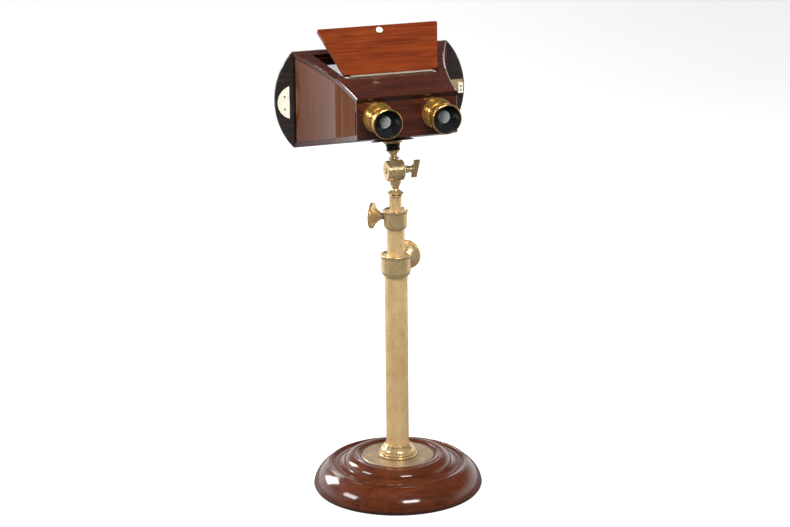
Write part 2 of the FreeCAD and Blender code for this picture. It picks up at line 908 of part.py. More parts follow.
def top_panel():
    """The top board: rebated opening for the lid, with rounded edges."""
    body = new_body("top_panel")
    slope = slope_of(s.front_top, s.rear_top)
    length = (s.board_end - s.front_face + s.board_overhang) / math.cos(math.radians(slope))
    board = pad(body, "XY", [flared_board(length, slope)], s.board_thickness, reverse=True)
    end = length.value

    def side_or_front_top(middle, box):
        on_top = box.ZMin > -0.01
        return on_top and middle.y < end - 0.1

    fillet(body, board, 2.4, side_or_front_top)
    edge = -s.hinge_edge.value
    reach = s.lid_length.value
    recess = lid_outline(edge, reach + s.lid_clearance.value, s.lid_clearance)
    opening = lid_outline(edge, reach - s.lid_ledge.value, -s.lid_side_ledge)
    pocket(body, "XY", [recess], s.lid_thickness + 0.3)
    pocket(body, "XY", [opening], 20.0)
    trim_edge(body, length, -s.board_thickness, slope)
    place_frame(body, top_frame())


def trim_edge(body, at, depth, slope):
    """Cut a sloped board's end upright, so that it meets the next board flat."""
    lean = depth * math.tan(math.radians(slope))
    wedge = [(at, 0), (at + lean, depth), (at, depth)]
    pocket(body, "YZ", [wedge], 400.0, middle=True)


def place_frame(body, frame):
    body.Placement = frame
    return body


def bottom_panel():
    body = new_body("bottom_panel")
    slope = slope_of(s.front_bottom, s.rear_bottom)
    length = (s.board_end - s.front_face) / math.cos(math.radians(slope))
    lean = s.board_thickness * math.tan(math.radians(slope))
    pad(body, "XY", [flared_board(length, slope, lean)], s.board_thickness)
    board = pocket(body, "YZ", [[(lean, 0), (0, 0), (lean, s.board_thickness)]], 400.0, middle=True)
    end = length.value

    def side_or_front_bottom(middle, box):
        at_bottom = box.ZMax < 0.01
        return at_bottom and middle.y < end - 0.1

    fillet(body, board, 1.6, side_or_front_bottom)
    frame = bottom_frame()
    centre = frame.inverse().multVec(neck_frame().multVec(Vector(0, 0, s.neck_length.value)))
    holes = []
    for angle in range(45, 405, 90):
        x, y = polar(s.mount_screw_circle.value, angle)
        holes.append(("circle", x, centre.y + y, 1.3))
    pocket(body, "XY", holes, 4.6, reverse=True)
    trim_edge(body, length, s.board_thickness, slope)
    place_frame(body, frame)


def neck_frame():
    return Placement(Vector(0, 0, s.knuckle_height.value), tilt_back())


def flare_x(y, inset):
    """Return a side's half width at y, at an inset from its outer face."""
    reach = s.flare_radius + inset
    away = y - s.flare_centre_y
    return s.flare_centre_x - root(reach * reach - away * away)


def line_height(front, rear, y, offset):
    """Return the height at y of a sloped board's face, moved square to it by offset."""
    run = s.board_end - s.front_face
    slope = math.radians(slope_of(front, rear))
    return front + (rear - front) * (y - s.front_face) / run + offset / math.cos(slope)


def under_top(y):
    return line_height(s.front_top, s.rear_top, y, -s.board_thickness)


def over_bottom(y):
    return line_height(s.front_bottom, s.rear_bottom, y, s.board_thickness)


def side_panel(label, side):
    """One hollow flared side, between the lens board and the card slot."""
    body = new_body(label)
    front = s.front_face + s.board_thickness
    rear = s.side_end
    outer_radius = s.flare_radius * -side
    inner_radius = (s.flare_radius + s.side_thickness) * side
    outline = [
        (flare_x(front, 0) * side, front),
        (flare_x(rear, 0) * side, rear, outer_radius),
        (flare_x(rear, s.side_thickness) * side, rear),
        (flare_x(front, s.side_thickness) * side, front, inner_radius),
    ]
    floor = s.rear_bottom.value - 10
    pad(body, "XY", [outline], 140.0, at=(0, 0, floor))
    trim_to_boards(body, front - 5.0, rear + 5.0)


def trim_to_boards(body, front, rear):
    """Cut away what is above the top board's underside or below the bottom board's top."""
    ceiling = s.rear_top + 60.0
    cellar = s.rear_bottom - 60.0
    above = [(front, under_top(front)), (rear, under_top(rear)), (rear, ceiling), (front, ceiling)]
    below = [(front, over_bottom(front)), (front, cellar), (rear, cellar), (rear, over_bottom(rear))]
    pocket(body, "YZ", [above], 400.0, middle=True)
    pocket(body, "YZ", [below], 400.0, middle=True)


def between_boards(front, rear):
    """Return the side view of a board that fills the height between top and bottom."""
    return [
        (front, over_bottom(front)),
        (rear, over_bottom(rear)),
        (rear, under_top(rear)),
        (front, under_top(front)),
    ]


def lens_board():
    body = new_body("lens_board")
    front = s.front_face
    rear = s.front_face + s.board_thickness
    block = pad(body, "YZ", [between_boards(front, rear)], s.front_half_width * 2.0, middle=True)

    def front_corner(middle, box):
        upright = box.ZLength > 20
        return upright and middle.y < front.value + 0.1

    fillet(body, block, 2.4, front_corner)
    holes = []
    for side in (-1, 1):
        holes.append(("circle", s.lens_spacing / 2.0 * side, s.lens_height, s.jacket_radius))
    pocket(body, "XZ", holes, 30.0, at=(0, front.value - 5, 0))


def divider():
    """The short upright partition between the two eyes."""
    body = new_body("divider")
    front = s.front_face + s.board_thickness
    pad(body, "YZ", [between_boards(front, size(4.0))], 2.6, middle=True)


def card_rails():
    """The lower and upper strips that hold a card against the back board."""
    body = new_body("card_rails")
    front = s.side_end - s.rail_depth
    lip = s.window_bottom + 1.5
    shelf = s.window_bottom - 2.0
    lower = [
        (front, over_bottom(front)),
        (s.board_end, over_bottom(s.board_end)),
        (s.board_end, shelf),
        (s.side_end, shelf),
        (s.side_end, lip),
        (front, lip),
    ]
    upper = [
        (front, s.window_top - 1.0),
        (s.side_end, s.window_top - 1.0),
        (s.side_end, under_top(s.side_end)),
        (front, under_top(front)),
    ]
    pad(body, "YZ", [lower, upper], s.rail_half_width * 2.0, middle=True)


def back_board():
    """The back: a window for the ground glass between two D-shaped wings."""
    body = new_body("back_board")
    outline = [
        (-s.rear_half_width, s.rear_bottom, s.wing_radius),
        (s.rear_half_width, s.rear_bottom),
        (s.rear_half_width, s.rear_top, s.wing_radius),
        (-s.rear_half_width, s.rear_top),
    ]
    rear = s.board_end.value + s.back_thickness.value
    board = pad(body, "XZ", [outline], s.back_thickness, at=(0, rear, 0))

    def wing_front_edge(middle, box):
        in_front = box.YMax < s.board_end.value + 0.01
        return in_front and abs(middle.x) > s.rear_half_width.value + 5

    fillet(body, board, 1.2, wing_front_edge)
    window = window_outline(size(0))
    rebate = window_outline(s.glass_margin)
    pocket(body, "XZ", [window], 20.0, middle=True, at=(0, rear, 0))
    pocket(body, "XZ", [rebate], s.glass_thickness, at=(0, rear, 0), reverse=True)
    pocket(body, "XZ", [plaque_outline()], 0.8, at=(0, s.board_end.value, 0))


def window_outline(margin):
    half = s.window_half_width + margin
    low = s.window_bottom - margin
    high = s.window_top + margin
    return [(-half, low), (half, low), (half, high), (-half, high)]


PLAQUE_EDGE = -97.1
PLAQUE_BOTTOM = 428.6
PLAQUE_TOP = 466.2
PLAQUE_RADIUS = 19.2
PIN_RADIUS = 1.1


def plaque_outline():
    """Return the half-moon: a straight edge towards the box and a round outer edge."""
    return [
        (PLAQUE_EDGE, PLAQUE_BOTTOM, PLAQUE_RADIUS),
        (PLAQUE_EDGE, PLAQUE_TOP),
        (PLAQUE_EDGE - 12.0, PLAQUE_TOP - 10.2, PLAQUE_RADIUS),
        (PLAQUE_EDGE - 12.0, PLAQUE_BOTTOM + 10.2, PLAQUE_RADIUS),
    ]


def ivory_plaque():
    body = new_body("ivory_plaque")
    pad(body, "XZ", [plaque_outline()], 1.0, at=(0, s.board_end.value + 0.8, 0))


def tablet_strip():
    """The thin brass strip across the right wing."""
    body = new_body("tablet_strip")
    outline = [(91.0, 443.0), (111.2, 443.0), (111.2, 459.0), (91.0, 459.0)]
    pad(body, "XZ", [outline], 0.8, at=(0, s.board_end.value, 0))


def ivory_tablet():
    body = new_body("ivory_tablet")
    outline = [(105.7, 443.0), (111.6, 443.0), (111.6, 455.2), (105.7, 455.2)]
    block = pad(body, "XZ", [outline], 2.6, at=(0, s.board_end.value - 0.8, 0))

    def front_edge(middle, box):
        return box.YMax < s.board_end.value - 3.3

    fillet(body, block, 0.5, front_edge)


# Each pin's x and z, and how far the face it sits on stands in front of the wing.
PIN_PLACES = (
    (-102.8, 454.3, 0.2),
    (-102.9, 439.9, 0.2),
    (108.8, 451.4, 3.4),
    (108.7, 446.6, 3.4),
    (-94.6, 468.2, 0),
)


def tablet_pins():
    """The small domed pins that hold the ivory and one in the left wing."""
    body = new_body("tablet_pins")
    for x, z, proud in PIN_PLACES:
        pad(body, "XZ", [("circle", x, z, PIN_RADIUS)], 0.25, at=(0, s.board_end.value - proud, 0))


def ground_glass():
    body = new_body("ground_glass")
    rear = s.board_end.value + s.back_thickness.value
    pad(body, "XZ", [window_outline(s.glass_margin - 0.2)], s.glass_thickness, at=(0, rear, 0))


def glass_beads():
    """The mitred bead frame that keeps the glass in its rebate."""
    body = new_body("glass_beads")
    rear = s.board_end.value + s.back_thickness.value + 2.4
    outlines = [window_outline(s.glass_margin + 4.0), window_outline(size(-0.6))]
    frame = pad(body, "XZ", outlines, 2.4, at=(0, rear, 0))

    def outer_back(middle, box):
        return box.YMin > rear - 0.01

    fillet(body, frame, 0.9, outer_back)


# ---------------------------------------------------------------- lid


def hinge_frame(opening):
    """Return the frame on the hinge pin, Y along the lid, opened by an angle."""
    base = top_frame()
    centre = base.multVec(Vector(0, s.lid_distance.value, s.hinge_rise.value))
    return Placement(centre, base.Rotation * Rotation(X_AXIS, opening))


def hinge_leaf(label, side, opening, phase):
    """One leaf of the piano hinge: its knuckles, their tabs and the flat strip on the edge."""
    body = new_body(label)
    knuckles = []
    tabs = []
    bore = s.hinge_pin_radius + s.running_gap
    pitch = HINGE_PITCH
    count = int(2 * s.hinge_half_length.value / pitch)
    for index in range(count):
        start = -s.hinge_half_length.value + index * pitch + phase
        end = start + pitch / 2 - 0.1
        knuckles.append([(start, bore), (end, bore), (end, s.barrel_radius), (start, s.barrel_radius)])
        tabs.append([(start, -0.8), (start, -1.7), (end, -1.7), (end, -0.8)])
    turned(body, knuckles, axis="H_Axis")
    half = s.hinge_half_length
    thickness = s.hinge_edge - 0.35
    back = 0.35 if side < 0 else -0.35
    strip = [(-half, -1.6), (-half, -6.0), (half, -6.0), (half, -1.6)]
    pad(body, "XZ", [strip], thickness, at=(0, -back, 0), reverse=side > 0)
    pad(body, "XZ", tabs, thickness * 0.6, at=(0, -back, 0), reverse=side > 0)
    place_frame(body, hinge_frame(opening))


def hinge_pin():
    body = new_body("hinge_pin")
    pad(body, "YZ", [("circle", 0, 0, s.hinge_pin_radius)], s.hinge_half_length * 2.0, middle=True)
    place_frame(body, hinge_frame(0))


def lid_plane(start, end, inset):
    """Return the lid's trapezoid in its own frame."""
    near = lid_half_width(start) - inset
    far = lid_half_width(end) - inset
    return [(-near, start), (near, start), (far, end), (-far, end)]


def lid_board():
    """The mahogany flap, cut back a little at both ends of the hinge."""
    body = new_body("lid_board")
    outer = -s.hinge_rise.value
    near_left, near_right, far_right, far_left = lid_plane(s.hinge_edge.value, s.lid_length.value, 0)
    hinge_end = s.hinge_half_length.value + 0.4
    step = s.hinge_edge.value + LID_STEP
    outline = [
        (-hinge_end, s.hinge_edge.value),
        (hinge_end, s.hinge_edge.value),
        (hinge_end, step),
        (near_right[0], step),
        far_right,
        far_left,
        (near_left[0], step),
        (-hinge_end, step),
    ]
    board = pad(body, "XY", [outline], s.lid_thickness, at=(0, 0, outer), reverse=True)

    def far_corner(middle, box):
        upright = box.XLength < 0.01 and box.YLength < 0.01
        return upright and middle.y > 10

    fillet(body, board, 2.0, far_corner)
    place_frame(body, hinge_frame(LID_OPENING))


def lid_mirror():
    """The mirror on the lid's inner face."""
    body = new_body("lid_mirror")
    inner = -s.hinge_rise.value - s.lid_thickness.value
    pad(body, "XY", [lid_plane(9.0, s.lid_length.value - 9.0, 9.0)], 1.8, at=(0, 0, inner), reverse=True)
    place_frame(body, hinge_frame(LID_OPENING))


def mirror_clips():
    """Four small brass clips at the mirror's edges."""
    body = new_body("mirror_clips")
    inner = -s.hinge_rise.value - s.lid_thickness.value
    for side in (-1, 1):
        for start in (18.0, 44.0):
            edge = lid_half_width(start).value - 9.0
            foot = box_outline(side * (edge + 2.8), start, 1.5, 2.0)
            lip = box_outline(side * (edge + 1.2), start, 3.1, 2.0)
            pad(body, "XY", [foot], 1.85, at=(0, 0, inner), reverse=True)
            pad(body, "XY", [lip], 0.6, at=(0, 0, inner - 1.85), reverse=True)
    place_frame(body, hinge_frame(LID_OPENING))


def box_outline(x, y, half_x, half_y):
    left, right = x - half_x, x + half_x
    near, far = y - half_y, y + half_y
    return [(left, near), (right, near), (right, far), (left, far)]


def lid_knob():
    """The turned ivory button near the lid's free edge."""
    body = new_body("lid_knob")
    outer = -s.hinge_rise.value
    outline = [
        (0, outer),
        (2.2, outer),
        (2.0, outer + 0.9, -1.2),
        (3.8, outer + 1.6, -2.0),
        (3.6, outer + 2.6, 0.8),
        (0, outer + 3.0, dome(3.6, 0.4)),
    ]
    turned(body, outline, at=(0, s.lid_length.value - 8.2, 0))
    place_frame(body, hinge_frame(LID_OPENING))


# ---------------------------------------------------------------- eyepieces


def at_lens(body, side):
    """Place a sub-part drawn along local Z on one lens's axis, facing the eye."""
    return place(body, (s.lens_spacing / 2.0 * side, s.front_face, s.lens_height), Rotation(X_AXIS, 90))


def jacket(label, side):
    """The fixed brass mount: flange and three beads, and the sleeve through the lens board."""
    body = new_body(label)
    outline = [
        (s.jacket_bore, -11.0),
        (s.jacket_radius, -11.0),
        (s.jacket_radius, 0),
        (s.flange_radius, 0),
        (s.flange_radius, 1.7),
        (s.flange_radius - 0.5, 2.2),
        (s.flange_radius - 2.4, 2.2),
        (s.flange_radius - 2.4, 5.4, 1.8),
        (s.flange_radius - 3.1, 5.4),
        (s.flange_radius - 3.1, 6.6),
        (s.flange_radius - 2.4, 6.6),
        (s.flange_radius - 2.4, 9.4, 1.6),
        (s.flange_radius - 3.2, 9.4),
        (s.flange_radius - 3.2, 10.4),
        (s.flange_radius - 2.6, 10.4),
        (s.flange_radius - 2.6, 12.8, 1.4),
        (s.flange_radius - 3.2, 13.6),
        (s.jacket_bore, 13.6),
    ]
    turned(body, outline)
    at_lens(body, side)


def flange_screws():
    """Three small round-headed screws in each eyepiece flange."""
    body = new_body("flange_screws")
    front = s.front_face.value - 2.2
    for side in (-1, 1):
        for angle in (40, 160, 280):
            x, z = polar(s.flange_radius.value - 1.1, angle)
            x += side * s.lens_spacing.value / 2
            pad(body, "XZ", [("circle", x, s.lens_height + z, 0.55)], 0.5, at=(0, front, 0))


def draw_tube(label, side):
    """The focusing tube that slides in the jacket."""
    body = new_body(label)
    inner = s.draw_tube_radius - s.draw_tube_wall
    turned(body, ring(inner, s.draw_tube_radius, -14.0, s.eye_ring_front - s.cup_seat))
    at_lens(body, side)


def eye_ring(label, side):
    """The milled ring at the eye end, with a thin bright front edge."""
    body = new_body(label)
    front = s.eye_ring_front
    radius = s.eye_ring_radius
    outline = [
        (s.draw_tube_radius, front - 9.0),
        (radius - 1.6, front - 9.0),
        (radius - 1.2, front - 7.8, -1.6),
        (radius - 0.2, front - 7.2, 0.8),
        (radius, front - 6.6),
        (radius, front - 1.0),
        (radius - 0.6, front, 0.9),
        (radius - 1.4, front, 0.6),
        (radius - 1.7, front - 0.6),
        (radius - 1.7, front - s.cup_seat),
        (s.draw_tube_radius, front - s.cup_seat),
    ]
    turned(body, outline)
    at_lens(body, side)


def eye_cup(label, side):
    """The black dished cup that leads the eye to the lens."""
    body = new_body(label)
    front = s.eye_ring_front
    edge = s.eye_ring_radius - 1.7
    inner = s.draw_tube_radius - s.draw_tube_wall
    outline = [
        (s.aperture_radius, front - 13.0),
        (inner, front - 13.0),
        (inner, front - s.cup_seat),
        (edge, front - s.cup_seat),
        (edge, front - 0.6),
        (edge - 0.7, front - 0.8, 0.5),
        (s.aperture_radius, front - 11.6, -30.0),
    ]
    turned(body, outline)
    at_lens(body, side)


def eye_lens(label, side):
    """The achromatic lens behind the cup, more curved towards the eye."""
    body = new_body(label)
    front = s.eye_ring_front - 13.1
    rim = s.draw_tube_radius - s.draw_tube_wall
    outline = [
        (0, front - 7.4),
        (rim, front - 6.2, dome(rim, 1.2)),
        (rim, front - 2.6),
        (0, front, dome(rim, 2.6)),
    ]
    turned(body, outline)
    at_lens(body, side)


# ---------------------------------------------------------------- assembly


def build_base():
    base_baize()
    base_disc()
    floor_plate()
    floor_screws()


def build_pillar():
    pillar_foot()
    wall = s.tube_wall
    gap = s.running_gap
    tube("outer_tube", s.outer_tube_radius, s.tube_seat, s.outer_tube_top)
    tube("middle_tube", s.middle_tube_radius, s.middle_tube_bottom, s.middle_tube_top)
    tube("inner_tube", s.inner_tube_radius, s.inner_tube_bottom, s.inner_tube_top)
    outer_bore = s.outer_tube_radius - wall - gap
    middle_bore = s.middle_tube_radius - wall - gap
    guide("middle_guide", s.middle_tube_radius + gap, outer_bore, s.middle_tube_bottom, s.guide_length)
    guide("inner_guide", s.inner_tube_radius + gap, middle_bore, s.inner_tube_bottom, s.guide_length)
    lower_heights = (s.lower_collar_bottom, s.outer_tube_top, s.lower_collar_top, s.lower_screw_height)
    upper_heights = (s.upper_collar_bottom, s.middle_tube_top, s.upper_collar_top, s.upper_screw_height)
    collar(
        "lower_collar",
        s.outer_tube_radius,
        s.middle_tube_radius + gap,
        s.lower_collar_radius,
        s.lower_rim_radius,
        lower_heights,
        s.lower_screw_radius,
        LOWER_KNOB_ANGLE,
        2.8,
    )
    collar(
        "upper_collar",
        s.middle_tube_radius,
        s.inner_tube_radius + gap,
        s.upper_collar_radius,
        s.upper_rim_radius,
        upper_heights,
        s.upper_screw_radius,
        UPPER_KNOB_ANGLE,
        1.2,
    )
    lower_gap = s.middle_tube_radius + 0.3
    upper_gap = s.inner_tube_radius + 0.3
    clamp_shoe("lower_shoe", s.lower_screw_radius, lower_gap, s.lower_screw_height, LOWER_KNOB_ANGLE)
    clamp_shoe("upper_shoe", s.upper_screw_radius, upper_gap, s.upper_screw_height, UPPER_KNOB_ANGLE)
    thumbscrew(
        "lower_thumbscrew",
        s.lower_screw_radius,
        lower_gap + s.shoe_length + gap,
        s.lower_collar_radius + 0.4,
        s.lower_knob_radius,
        s.lower_screw_height,
        LOWER_KNOB_ANGLE,
    )
    thumbscrew(
        "upper_thumbscrew",
        s.upper_screw_radius,
        upper_gap + s.shoe_length + gap,
        s.upper_collar_radius + 0.4,
        s.upper_knob_radius,
        s.upper_screw_height,
        UPPER_KNOB_ANGLE,
    )
    stem()


def build_joint():
    knuckle_lower()
    knuckle_cap()
    knuckle_bolt()
    key_washer()
    wing_key()
    knuckle_upper()
    mounting_collar()
    mounting_flange()
    mounting_plate()
    mounting_screws()


def build_box():
    top_panel()
    bottom_panel()
    side_panel("left_side", -1)
    side_panel("right_side", 1)
    lens_board()
    divider()
    card_rails()
    back_board()
    ground_glass()
    glass_beads()
    ivory_plaque()
    tablet_strip()
    ivory_tablet()
    tablet_pins()


def build_lid():
    hinge_leaf("box_hinge_leaf", -1, 0, 0.05)
    hinge_leaf("lid_hinge_leaf", 1, LID_OPENING, HINGE_PITCH / 2 + 0.05)
    hinge_pin()
    lid_board()
    lid_mirror()
    mirror_clips()
    lid_knob()


def build_eyepieces():
    flange_screws()
    for name, side in (("left", -1), ("right", 1)):
        jacket(f"{name}_jacket", side)
        draw_tube(f"{name}_draw_tube", side)
        eye_ring(f"{name}_eye_ring", side)
        eye_cup(f"{name}_eye_cup", side)
        eye_lens(f"{name}_lens", side)


def check_document():
    """Stop if any object failed or any sub-part has no valid solid."""
    for item in doc.Objects:
        if "Invalid" in item.State or "Error" in item.State:
            raise SystemExit(f"{item.Label} failed: {item.State}")
    for body in sub_parts:
        if body.Shape.isNull() or not body.Shape.isValid() or not body.Shape.Solids:
            raise SystemExit(f"{body.Label} has no valid solid")


def write_parts():
    os.makedirs("parts", exist_ok=True)
    for body in sub_parts:
        body.Shape.exportStep(f"parts/{body.Label}.step")


build_base()
build_pillar()
build_joint()
build_box()
build_lid()
build_eyepieces()
doc.recompute()
check_document()
write_parts()
print(len(sub_parts), "sub-parts")
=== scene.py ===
"""The looks of a stereo viewer on a telescopic brass pillar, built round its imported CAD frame."""

import math

import bpy
from mathutils import Matrix, Vector

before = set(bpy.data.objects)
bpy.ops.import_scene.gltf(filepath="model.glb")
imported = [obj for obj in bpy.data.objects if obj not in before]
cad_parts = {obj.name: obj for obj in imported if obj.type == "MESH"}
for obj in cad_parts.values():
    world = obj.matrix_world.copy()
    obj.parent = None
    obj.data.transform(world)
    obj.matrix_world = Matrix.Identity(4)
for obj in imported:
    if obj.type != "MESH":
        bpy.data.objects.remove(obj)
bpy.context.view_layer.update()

MM = 0.001

# ---------------------------------------------------------------- the stage

# The camera stands to the left of the eyepieces' own direction, a little above the box.
CAMERA_PLACE = Vector((-0.8533, -2.6319, 1.0949))
CAMERA_TURN = 17.94
CAMERA_PITCH = 16.584
CAMERA_ROLL = 0.55
CAMERA_LENS = 115.55

FLOOR_REACH = 14.0

# The lights aim at the middle of the object's height.
AIM_HEIGHT = 0.25

# The eyepieces' axes, in millimetres.
LENS_HALF_SPACING = 34.0
LENS_HEIGHT = 454.5


def place_camera():
    data = bpy.data.cameras.new("camera")
    data.lens = CAMERA_LENS
    data.sensor_width = 36.0
    data.clip_end = 60.0
    camera = bpy.data.objects.new("camera", data)
    turn = Matrix.Rotation(math.radians(-CAMERA_TURN), 4, "Z")
    pitch = Matrix.Rotation(math.radians(90 - CAMERA_PITCH), 4, "X")
    roll = Matrix.Rotation(math.radians(-CAMERA_ROLL), 4, "Z")
    camera.matrix_world = Matrix.Translation(CAMERA_PLACE) @ turn @ pitch @ roll
    bpy.context.scene.collection.objects.link(camera)
    bpy.context.scene.camera = camera


def from_camera(azimuth, elevation, distance):
    """Return the point at an angle to the right of the camera's direction from the object."""
    side = math.radians(azimuth - CAMERA_TURN)
    rise = math.radians(elevation)
    level = distance * math.cos(rise)
    height = AIM_HEIGHT + distance * math.sin(rise)
    return Vector((level * math.sin(side), -level * math.cos(side), height))


def softbox(name, azimuth, elevation, distance, width, height, power, mirrored=True):
    """A rectangular studio light that faces the object; polish mirrors it only if asked."""
    data = bpy.data.lights.new(name, "AREA")
    data.shape = "RECTANGLE"
    data.size = width
    data.size_y = height
    data.energy = power
    light = bpy.data.objects.new(name, data)
    light.location = from_camera(azimuth, elevation, distance)
    aim = Vector((0, 0, AIM_HEIGHT)) - light.location
    light.rotation_euler = aim.to_track_quat("-Z", "Y").to_euler()
    light.visible_glossy = mirrored
    bpy.context.scene.collection.objects.link(light)


def light_stage():
    softbox("overhead", 8, 62, 2.2, 1.5, 1.0, 50, mirrored=False)
    softbox("front_diffuse", 10, 30, 3.0, 1.2, 1.0, 8, mirrored=False)
    softbox("front_small", 19, 33, 3.0, 1.0, 0.55, 42)
    softbox("fill_left", -74, 25, 2.8, 1.0, 0.60, 28)
    softbox("back_left", -128, 24, 2.6, 0.9, 1.0, 42)
    softbox("left_diffuse", -70, 20, 3.0, 1.5, 1.5, 26, mirrored=False)
    softbox("right_diffuse", 70, 20, 3.0, 1.5, 1.5, 22, mirrored=False)


def build_world():
    """White behind and beside the object, dim behind the camera and overhead."""
    world = bpy.data.worlds.new("studio")
    bpy.context.scene.world = world
    world.use_nodes = True
    nodes = world.node_tree.nodes
    links = world.node_tree.links
    background = nodes["Background"]
    coords = nodes.new("ShaderNodeTexCoord")
    turn = nodes.new("ShaderNodeVectorRotate")
    turn.rotation_type = "Z_AXIS"
    turn.inputs["Angle"].default_value = math.radians(CAMERA_TURN)
    links.new(coords.outputs["Generated"], turn.inputs["Vector"])
    split = nodes.new("ShaderNodeSeparateXYZ")
    links.new(turn.outputs["Vector"], split.inputs[0])
    behind = nodes.new("ShaderNodeMapRange")
    behind.interpolation_type = "SMOOTHSTEP"
    behind.inputs["From Min"].default_value = -0.45
    behind.inputs["From Max"].default_value = 0.35
    links.new(split.outputs["Y"], behind.inputs["Value"])
    low = nodes.new("ShaderNodeMapRange")
    low.interpolation_type = "SMOOTHSTEP"
    low.inputs["From Min"].default_value = 0.50
    low.inputs["From Max"].default_value = 0.15
    links.new(split.outputs["Z"], low.inputs["Value"])
    both = nodes.new("ShaderNodeMath")
    both.operation = "MULTIPLY"
    links.new(behind.outputs["Result"], both.inputs[0])
    links.new(low.outputs["Result"], both.inputs[1])
    strength = nodes.new("ShaderNodeMapRange")
    strength.inputs["To Min"].default_value = 0.07
    strength.inputs["To Max"].default_value = 1.3
    links.new(both.outputs[0], strength.inputs["Value"])
    links.new(strength.outputs["Result"], background.inputs["Strength"])
    background.inputs["Color"].default_value = (1, 1, 1, 1)


def build_floor():
    mesh = bpy.data.meshes.new("floor")
    reach = FLOOR_REACH
    corners = [(-reach, -reach, 0), (reach, -reach, 0), (reach, reach, 0), (-reach, reach, 0)]
    mesh.from_pydata(corners, [], [(0, 1, 2, 3)])
    floor = bpy.data.objects.new("floor", mesh)
    bpy.context.scene.collection.objects.link(floor)
    paper = Shader("floor_paper")
    paper.set("Roughness", 0.55)
    paper.set("Specular IOR Level", 0.2)
    paper.set("Emission Color", (1, 1, 1, 1))
    coords = paper.node("TexCoord").outputs["Object"]
    spin = {"Vector": coords, "Angle": math.radians(CAMERA_TURN)}
    turned = paper.node("VectorRotate", spin, rotation_type="Z_AXIS")
    split = paper.node("SeparateXYZ", {"Vector": turned.outputs["Vector"]})
    behind = paper.ramp(split.outputs["Y"], -0.3, 0.9)
    beside = paper.ramp(paper.math("ABSOLUTE", split.outputs["X"], 0.0), 0.25, 0.75, 0.12, 1.0)
    glow = paper.math("MULTIPLY", paper.math("MULTIPLY", behind, beside), 0.85)
    seen = paper.node("LightPath").outputs["Is Camera Ray"]
    paper.feed(paper.mix(seen, rgb(0.10, 0.10, 0.10), rgb(0.30, 0.30, 0.30)), "Base Color")
    far = paper.ramp(split.outputs["Y"], 0.5, 2.2)
    right = paper.ramp(split.outputs["X"], -0.4, 0.9, 0.12, 0.26)
    fall = paper.math("SUBTRACT", 0.97, paper.math("MULTIPLY", far, right))
    hidden = paper.math("MULTIPLY", glow, paper.math("SUBTRACT", 1.0, seen))
    paper.feed(paper.math("ADD", hidden, paper.math("MULTIPLY", seen, fall)), "Emission Strength")
    mesh.materials.append(paper.material)


# ---------------------------------------------------------------- node helpers


class Shader:
    """A material with one Principled BSDF and short calls for the nodes that feed it."""

    def __init__(self, name):
        self.material = bpy.data.materials.new(name)
        self.material.use_nodes = True
        self.nodes = self.material.node_tree.nodes
        self.links = self.material.node_tree.links
        self.bsdf = self.nodes["Principled BSDF"]

    def set(self, socket, value):
        self.bsdf.inputs[socket].default_value = value

    def feed(self, output, socket):
        self.links.new(output, self.bsdf.inputs[socket])

    def node(self, kind, inputs=None, **settings):
        made = self.nodes.new(f"ShaderNode{kind}")
        for name, value in settings.items():
            setattr(made, name, value)
        for name, value in (inputs or {}).items():
            if isinstance(value, bpy.types.NodeSocket):
                self.links.new(value, made.inputs[name])
            else:
                made.inputs[name].default_value = value
        return made

    def place(self, scale, shift=(0, 0, 0)):
        """Object coordinates in millimetres divided by scale, so that a feature is about scale long."""
        coords = self.node("TexCoord")
        factors = [1 / (MM * length) for length in scale]
        inputs = {"Vector": coords.outputs["Object"], "Scale": factors, "Location": shift}
        return self.node("Mapping", inputs).outputs["Vector"]

    def noise(self, scale, detail=2.0, roughness=0.5, shift=(0, 0, 0), distortion=0.0):
        inputs = {
            "Vector": self.place(scale, shift),
            "Scale": 1.0,
            "Detail": detail,
            "Roughness": roughness,
            "Distortion": distortion,
        }
        return self.node("TexNoise", inputs).outputs["Fac"]

    def ramp(self, value, low, high, to_low=0.0, to_high=1.0):
        inputs = {"Value": value, "From Min": low, "From Max": high, "To Min": to_low, "To Max": to_high}
        return self.node("MapRange", inputs, interpolation_type="SMOOTHSTEP").outputs["Result"]

    def mix(self, factor, first, second):
        made = self.node("Mix", data_type="RGBA", blend_type="MIX")
        for index, value in ((0, factor), (6, first), (7, second)):
            if isinstance(value, bpy.types.NodeSocket):
                self.links.new(value, made.inputs[index])
            else:
                made.inputs[index].default_value = value
        return made.outputs[2]

    def math(self, operation, first, second):
        made = self.node("Math", operation=operation)
        for index, value in enumerate((first, second)):
            if isinstance(value, bpy.types.NodeSocket):
                self.links.new(value, made.inputs[index])
            else:
                made.inputs[index].default_value = value
        return made.outputs[0]

    def bump(self, height, depth, strength=1.0, before=None):
        inputs = {"Height": height, "Distance": depth * MM, "Strength": strength}
        if before is not None:
            inputs["Normal"] = before
        return self.node("Bump", inputs).outputs["Normal"]

    def edges(self, radius):
        """How near a point is to an edge, from 0 on flat faces to 1 on sharp ones."""
        rounded = self.node("Bevel", {"Radius": radius * MM}, samples=6).outputs["Normal"]
        plain = self.node("NewGeometry").outputs["Normal"]
        dot = self.node("VectorMath", operation="DOT_PRODUCT")
        self.links.new(rounded, dot.inputs[0])
        self.links.new(plain, dot.inputs[1])
        return self.ramp(dot.outputs["Value"], 0.995, 0.88)

    def groove_shade(self, reach):
        """How deep a point sits in a groove, from 0 in the open to 1 in a tight corner, as a mask for painted
        shade.
        """
        shade = self.node("AmbientOcclusion", {"Distance": reach * MM}, samples=6)
        return self.ramp(shade.outputs["AO"], 0.80, 0.25)

    def facing(self, direction):
        """How squarely the surface faces a direction of the object's own axes."""
        dot = self.node("VectorMath", operation="DOT_PRODUCT")
        self.links.new(self.node("TexCoord").outputs["Normal"], dot.inputs[0])
        dot.inputs[1].default_value = direction
        return dot.outputs["Value"]


